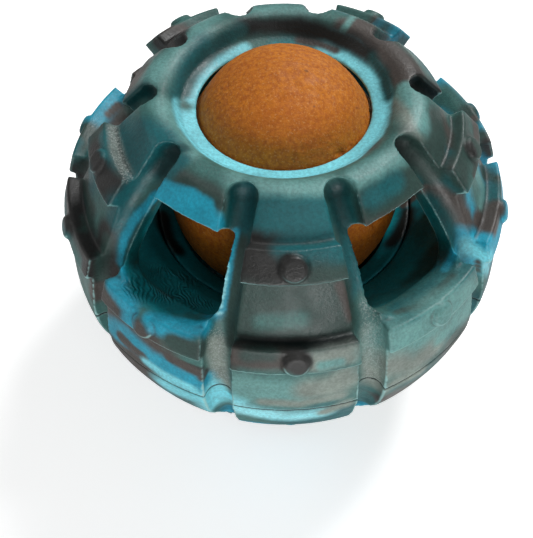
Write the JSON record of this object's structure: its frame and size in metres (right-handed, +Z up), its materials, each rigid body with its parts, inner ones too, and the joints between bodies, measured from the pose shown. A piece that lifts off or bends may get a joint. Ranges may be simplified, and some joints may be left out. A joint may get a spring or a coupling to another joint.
{
  "type": "treat dispensing ball",
  "caption": "Hollow rubber tread ball with windows in its upper half, a treat hole on top and a pull-out tread lid that holds a moulded treat ball.",
  "frame": {"origin": "centre of the lid's flat resting face, under the middle of the ball", "axes": "+Z up through the treat hole, -Y towards the closed tread panel that faces the viewer"},
  "size_m": [0.0998, 0.1, 0.0898],
  "materials": {
    "upper_rubber": "satin",
    "lower_rubber": "satin",
    "lid_rubber": "satin",
    "treat": "matte, baked"
  },
  "bodies": {
    "shell": {"upper_shell": "upper_rubber", "lower_shell": "lower_rubber"},
    "lid": {"lid": "lid_rubber"},
    "treat": {"treat_ball": "treat"}
  },
  "joints": [
    {"name": "lid_pull", "type": "slide", "parent": "shell", "child": "lid", "axis": [0, 0, -1], "range_m": [0, 0.075]},
    {"name": "treat_spin", "type": "hinge", "parent": "lid", "child": "treat", "pos_m": [0, 0, 0.0568], "axis": [0, 0, 1], "continuous": true}
  ]
}
